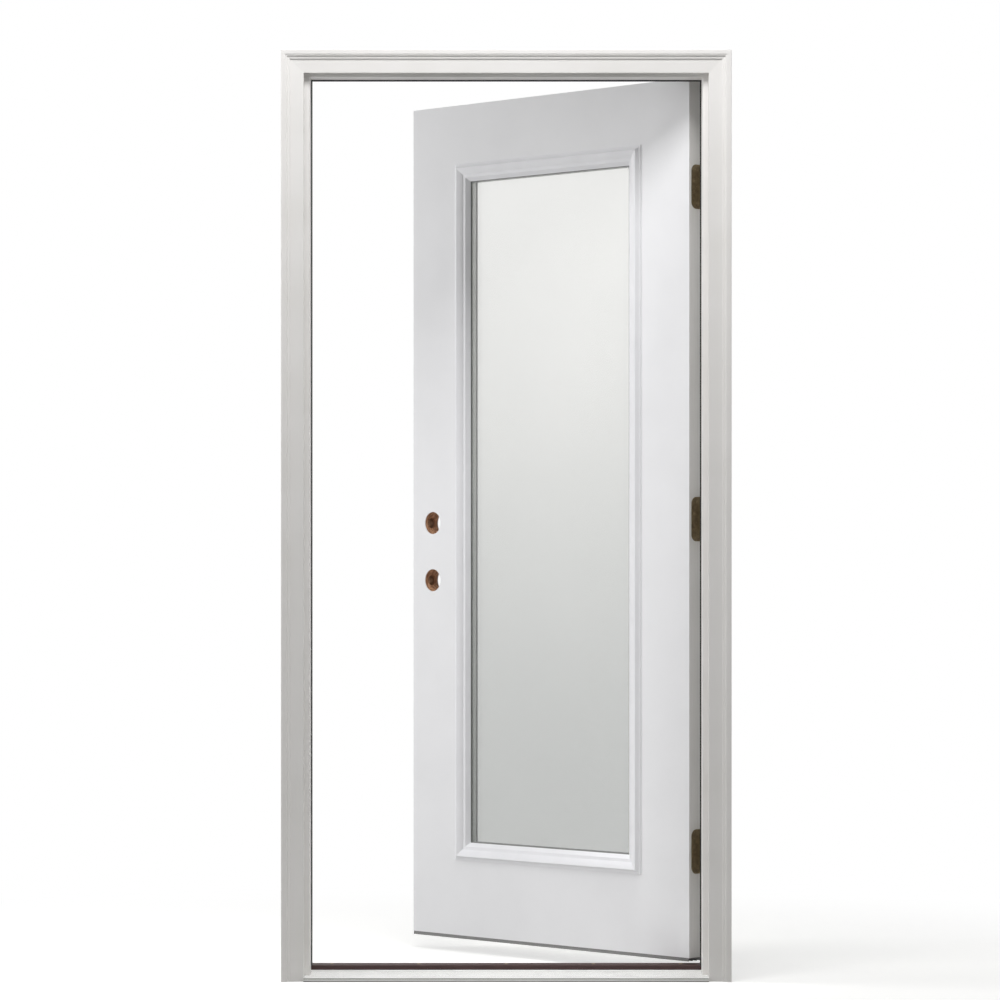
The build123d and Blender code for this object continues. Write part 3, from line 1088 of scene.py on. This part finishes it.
@dataclass(frozen=True)
class DomedPlug:
    """A round plug with an eased rim and a low dome. Sizes are millimetres."""

    radius: float = 5.2
    rise: float = 0.9
    rim: float = 0.4
    sunk: float = 0.5
    sides: int = 36

    def add_to(self, shape: Shape, place: Matrix) -> None:
        """Adds the plug.

        Args:
            shape: The shape that gets it.
            place: The seat, with z out of the surface.
        """
        # Shares of its own measures: an upright rim, an eased edge, and a dome dipped at its top
        outline = [
            (self.radius, -self.sunk),
            (self.radius, self.rise * 0.35),
            (self.radius - self.rim * 0.3, self.rise * 0.6),
            (self.radius - self.rim, self.rise * 0.72),
            (self.radius * 0.62, self.rise * 0.93),
            (self.radius * 0.26, self.rise),
            (self.radius * 0.14, self.rise * 0.9),
        ]
        rings = lathe(shape, outline, place @ Matrix.Scale(MM, 4), self.sides)
        shape.faces.new(rings[-1])


@dataclass(frozen=True)
class LeafPlane:
    """The leaf's own plane at rest: x back to the hinge pins, y into the house. Millimetres."""

    pivot_x: float = 456.625
    pivot_y: float = 123.5
    open_angle: float = 44.5

    @property
    def turn(self) -> float:
        """Radians by which the leaf stands turned about the vertical."""
        return -math.radians(self.open_angle)

    @property
    def along(self) -> Vector:
        """The direction from the lock edge to the hinges."""
        return Vector((math.cos(self.turn), math.sin(self.turn), 0))

    @property
    def inwards(self) -> Vector:
        """The direction through the leaf into the house."""
        return Vector((-math.sin(self.turn), math.cos(self.turn), 0))

    def point(self, x: float, y: float, z: float) -> Vector:
        """A point of the plane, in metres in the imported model's frame."""
        pivot = Vector((self.pivot_x, self.pivot_y, z))
        return (pivot + self.along * x + self.inwards * y) * MM


LEAF = LeafPlane()


@dataclass
class OuterFrame:
    """The jambs, the moulded trim round them and their seals."""

    upright: PrimedPine = PrimedPine("primed_pine_upright", run=Run.UPRIGHT)
    level: PrimedPine = PrimedPine("primed_pine_level", run=Run.ACROSS)
    film_upright: FilmedFoamSeal = FilmedFoamSeal("filmed_foam_upright", run=Run.UPRIGHT)
    film_level: FilmedFoamSeal = FilmedFoamSeal("filmed_foam_level", run=Run.ACROSS)

    def dress(self) -> None:
        """Puts primed pine on the wood, film on the seals and nap on the corner pads."""
        for side in ("hinge", "strike"):
            dress([f"{side}_jamb", f"brickmould_{side}_leg"], self.upright)
            dress([f"{side}_seal"], self.film_upright)
            dress([f"{side}_corner_pad"], FlockedFoam("flocked_foam"))
        dress(["head_jamb", "brickmould_head"], self.level)
        dress(["head_seal"], self.film_level)


@dataclass
class Sill:
    """The tread, its base and the threshold cap with its adjusting screws.

    Lengths are millimetres, and the turns of the screws' crosses radians.
    """

    screw_count: int = 5
    screw_inset: float = 60.0
    screw_line: float = 87.0
    clear: float = 10.0
    first_turn: float = 0.4
    next_turn: float = 1.1
    bushing: DomedPlug = DomedPlug(radius=7.0, rise=0.5, rim=0.6)
    screw: CrossScrew = CrossScrew(radius=4.3, rise=0.9, sunk=0.2, arm=2.4)
    nylon: Nylon = Nylon("moulded_nylon")
    bronze: RubbedBronze = RubbedBronze("rubbed_bronze")

    def dress(self) -> None:
        """Puts metal on the tread and composites on the base and the cap."""
        dress(["sill_tread"], MillAluminium("mill_aluminium"))
        dress(["threshold_cap"], WoodComposite("brown_wood_composite"))
        grey = WoodComposite(
            "grey_wood_composite", colour="#8F8A83", streak="#7C766F", speck="#A8A198"
        )
        dress(["sill_base"], grey)

    def build(self) -> None:
        """Sets the adjusting screws in the top of the cap."""
        low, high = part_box("threshold_cap")
        start = low.x + self.screw_inset * MM
        step = (high.x - low.x - 2 * self.screw_inset * MM) / (self.screw_count - 1)
        bushings, screws = bmesh.new(), bmesh.new()
        for number in range(self.screw_count):
            x, z = start + number * step, high.z + self.clear * MM
            above = Vector((x, self.screw_line * MM, z))
            place = seat("threshold_cap", above, Vector((0, 0, -1)))
            self.bushing.add_to(bushings, place)
            self.screw.add_to(screws, place, self.first_turn + self.next_turn * number)
        piece("cap_screw_bushings", bushings, self.nylon, Body.FRAME)
        piece("cap_adjusting_screws", screws, self.bronze, Body.FRAME)


@dataclass
class Leaf:
    """The insulated leaf: skins, stiles, rails, lock block, core and sweep."""

    def dress(self) -> None:
        """Puts each layer of the leaf in its own material."""
        turn = LEAF.turn
        dress(["exterior_skin", "interior_skin"], MouldedFiberglass("moulded_fiberglass", turn))
        dress(["hinge_stile", "lock_stile"], StileTimber("enamelled_stile_timber", turn))
        pale = WoodComposite(
            "pale_wood_composite", turn, colour="#B9B2A6", streak="#A79F92", speck="#CCC5BA"
        )
        dress(["top_rail", "bottom_rail"], pale)
        dress(["lock_block"], BoredTimber("bored_laminated_timber", turn))
        dress(["foam_core"], BlownFoam("blown_foam"))
        dress(["door_sweep"], ExtrudedVinyl("extruded_vinyl", turn))


@dataclass
class Glazing:
    """The sealed unit and the two moulded frames that clamp it, one of them screwed.

    Lengths are millimetres.
    """

    plug_columns: int = 8
    plug_rows: int = 4
    plug_inset: float = 20.0
    clear: float = 40.0
    plug: DomedPlug = DomedPlug()
    plastic: MouldedTrimPlastic = MouldedTrimPlastic("moulded_trim_plastic", LEAF.turn)
    tape: GlazingTape = GlazingTape("glazing_tape", LEAF.turn)

    def dress(self) -> None:
        """Puts plastic on the frames and glass, metal and tape in the sealed unit."""
        turn = LEAF.turn
        dress(["lite_frame_exterior", "lite_frame_interior"], self.plastic)
        dress(["glass_outer", "glass_inner"], CoatedFloatGlass("coated_float_glass", turn))
        dress(["glass_spacer"], PerforatedSpacer("perforated_spacer", turn))
        dress(["glazing_seal_exterior", "glazing_seal_interior"], self.tape)

    def outline(self) -> tuple[float, float, float, float]:
        """Measures the interior frame in the leaf's plane.

        Returns:
            Its left, right, bottom and top edges.
        """
        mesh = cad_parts["lite_frame_interior"].data
        pivot = LEAF.point(0, 0, 0)
        along = [(v.co - pivot).dot(LEAF.along) / MM for v in mesh.vertices]
        up = [v.co.z / MM for v in mesh.vertices]
        return min(along), max(along), min(up), max(up)

    def build(self) -> None:
        """Sets plugs over the screws of the interior frame, round all its sides."""
        left, right, bottom, top = self.outline()
        left, right = left + self.plug_inset, right - self.plug_inset
        bottom, top = bottom + self.plug_inset, top - self.plug_inset
        places = []
        for number in range(self.plug_columns):
            up = bottom + (top - bottom) * (number + 0.5) / self.plug_columns
            places += [(left, up), (right, up)]
        for number in range(self.plug_rows):
            across = left + (right - left) * (number + 0.5) / self.plug_rows
            places += [(across, bottom), (across, top)]
        plugs = bmesh.new()
        for x, z in places:
            start = LEAF.point(x, self.clear, z)
            self.plug.add_to(plugs, seat("lite_frame_interior", start, -LEAF.inwards))
        piece("lite_frame_plugs", plugs, self.plastic, Body.DOOR)


@dataclass
class Hinges:
    """Three butt hinges with their screws.

    A screw's spot is its depth and height from the pin at the hinge's middle. Lengths are
    millimetres, and the turns of the screws' crosses radians.
    """

    names: tuple[str, ...] = ("upper", "middle", "lower")
    screw_spots: tuple[tuple[float, float], ...] = (
        (-22.0, -38.0), (-33.0, -13.0), (-33.0, 13.0), (-22.0, 38.0)
    )
    clear: float = 1.5
    screw_turn: float = 0.7
    hinge_turn: float = 0.3
    jamb_turn: float = 0.5
    screw: CrossScrew = CrossScrew()
    bronze: RubbedBronze = RubbedBronze("rubbed_bronze")

    def dress(self) -> None:
        """Puts the toned metal on every leaf and pin."""
        for name in self.names:
            parts = ("jamb_leaf", "door_leaf", "pin")
            dress([f"{name}_hinge_{part}" for part in parts], self.bronze)

    def middle(self, name: str) -> float:
        """Height of a hinge's middle, in millimetres."""
        low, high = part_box(f"{name}_hinge_door_leaf")
        return (low.z + high.z) / 2 / MM

    def build(self) -> None:
        """Drives the screws of both leaves of every hinge, from inside the gap."""
        for order, name in enumerate(self.names):
            level = self.middle(name)
            door, jamb = bmesh.new(), bmesh.new()
            for number, (depth, rise) in enumerate(self.screw_spots):
                turn = self.screw_turn * number + self.hinge_turn * order
                start = LEAF.point(self.clear, depth, level + rise)
                place = seat(f"{name}_hinge_door_leaf", start, -LEAF.along)
                self.screw.add_to(door, place, turn)
                x, y = LEAF.pivot_x - self.clear, LEAF.pivot_y + depth
                start = Vector((x, y, level + rise)) * MM
                place = seat(f"{name}_hinge_jamb_leaf", start, Vector((1, 0, 0)))
                self.screw.add_to(jamb, place, turn + self.jamb_turn)
            piece(f"{name}_hinge_door_screws", door, self.bronze, Body.DOOR)
            piece(f"{name}_hinge_jamb_screws", jamb, self.bronze, Body.FRAME)


@dataclass(frozen=True)
class SoftBox:
    """A soft lamp of the studio. Places and sizes are metres, and its spread degrees."""

    name: str
    place: Point
    aim: Point
    width: float
    height: float
    power: float
    mirrored: bool = True
    spread: float = 180.0

    def build(self) -> None:
        """Hangs the lamp and points it."""
        lamp = bpy.data.lights.new(self.name, "AREA")
        lamp.shape = "RECTANGLE"
        lamp.size, lamp.size_y = self.width, self.height
        lamp.energy = self.power
        lamp.spread = math.radians(self.spread)
        hung = bpy.data.objects.new(self.name, lamp)
        hung.location = self.place
        way = Vector(self.aim) - Vector(self.place)
        hung.rotation_euler = way.to_track_quat("-Z", "Y").to_euler()
        hung.visible_camera = False
        hung.visible_glossy = hung.visible_transmission = self.mirrored
        bpy.context.scene.collection.objects.link(hung)


@dataclass
class Studio:
    """The camera, the lamps, the pale floor, the white surroundings and the flag.

    Lengths are metres, but for the camera's lens and sensor in millimetres.
    """

    lens: float = 134.46
    sensor: float = 36.0
    camera_place: Point = (0.0, -8.4498, 0.955)
    shift: tuple[float, float] = (-0.0062, 0.0584)
    sight: float = 200.0
    ambient: float = 0.26
    floor_radius: float = 40.0
    floor_sides: int = 96
    floor_drop: float = 0.0003
    flag_width: float = 1.8
    flag_foot: float = 2.09
    flag_top: float = 2.5
    flag_depth: float = 0.06
    flag_reach: float = 1.5
    lamps: tuple[SoftBox, ...] = (
        SoftBox("head_softbox", (0.0, -1.5, 3.5), (0.0, 0.0, 1.5), 2.0, 0.8, 43.5),
        SoftBox("top_softbox", (0.0, -0.9, 3.3), (0.0, 0.0, 1.6), 1.8, 0.5, 4.0),
        SoftBox(
            "sill_softbox", (0.0, -0.01, 1.99), (0.0, -0.01, 0.0), 0.8, 0.04, 0.75, False, 30.0
        ),
        SoftBox("left_softbox", (-2.2, -2.4, 2.5), (0.1, 0.3, 1.2), 1.4, 1.2, 10.0),
        SoftBox("hall_softbox", (-4.6, 0.75, 1.7), (0.1, 0.4, 1.2), 1.9, 2.4, 121.0, False),
        SoftBox("back_softbox", (0.7, 3.6, 2.6), (0.0, 0.3, 1.1), 2.0, 1.6, 22.0, False),
    )

    def build(self) -> None:
        """Sets up everything round the object."""
        self.camera()
        for lamp in self.lamps:
            lamp.build()
        self.surroundings()
        self.floor()
        self.flag()
        bpy.context.scene.view_settings.view_transform = "Standard"

    def camera(self) -> None:
        """Stands the camera where the photograph was taken from."""
        lens = bpy.data.cameras.new("camera")
        lens.lens, lens.sensor_width = self.lens, self.sensor
        lens.shift_x, lens.shift_y = self.shift
        lens.clip_end = self.sight
        stand = bpy.data.objects.new("camera", lens)
        stand.location = self.camera_place
        stand.rotation_euler = (math.pi / 2, 0, 0)
        bpy.context.scene.collection.objects.link(stand)
        bpy.context.scene.camera = stand

    def surroundings(self) -> None:
        """A world that looks white and gives an even, weaker light."""
        world = bpy.data.worlds.new("surroundings")
        tree = emptied(world)
        light, white = (
            add(tree, "Background", {"Color": linear(WHITE), "Strength": strength})
            for strength in (self.ambient, 1.0)
        )
        mixed = add(
            tree, "MixShader", {"Fac": seen_white(tree), 1: light.outputs[0], 2: white.outputs[0]}
        )
        add(tree, "OutputWorld", {"Surface": mixed.outputs["Shader"]})
        bpy.context.scene.world = world

    def floor(self) -> None:
        """A pale floor that keeps the object's shadow and fades to the white round it."""
        shape = bmesh.new()
        bmesh.ops.create_circle(
            shape, cap_ends=True, segments=self.floor_sides, radius=self.floor_radius
        )
        ground = shaped("floor", shape, MattFloorPaint("pale_floor"))
        ground.location.z = -self.floor_drop

    def flag(self) -> None:
        """A flag over the head, unseen itself, that shades the leaf as wall and ceiling do."""
        half = self.flag_width / 2
        front, back = self.flag_depth, self.flag_depth + self.flag_reach
        edges = [(front, self.flag_foot), (front, self.flag_top), (back, self.flag_top)]
        shape = bmesh.new()
        rows = [[shape.verts.new((x, y, z)) for x in (-half, half)] for y, z in edges]
        for (a, b), (c, d) in zip(rows, rows[1:]):
            shape.faces.new((a, b, d, c))
        board = shaped("head_flag", shape, FlagCloth("flag_cloth"))
        board.visible_camera = board.visible_glossy = board.visible_transmission = False


def main() -> None:
    """Sets up the studio, then dresses the door and builds its fasteners."""
    logging.basicConfig(level=logging.INFO, format="%(name)s: %(message)s")
    Studio().build()
    OuterFrame().dress()
    for assembly in (Sill(), Glazing(), Hinges()):
        assembly.dress()
        assembly.build()
    Leaf().dress()


if __name__ == "__main__":
    main()
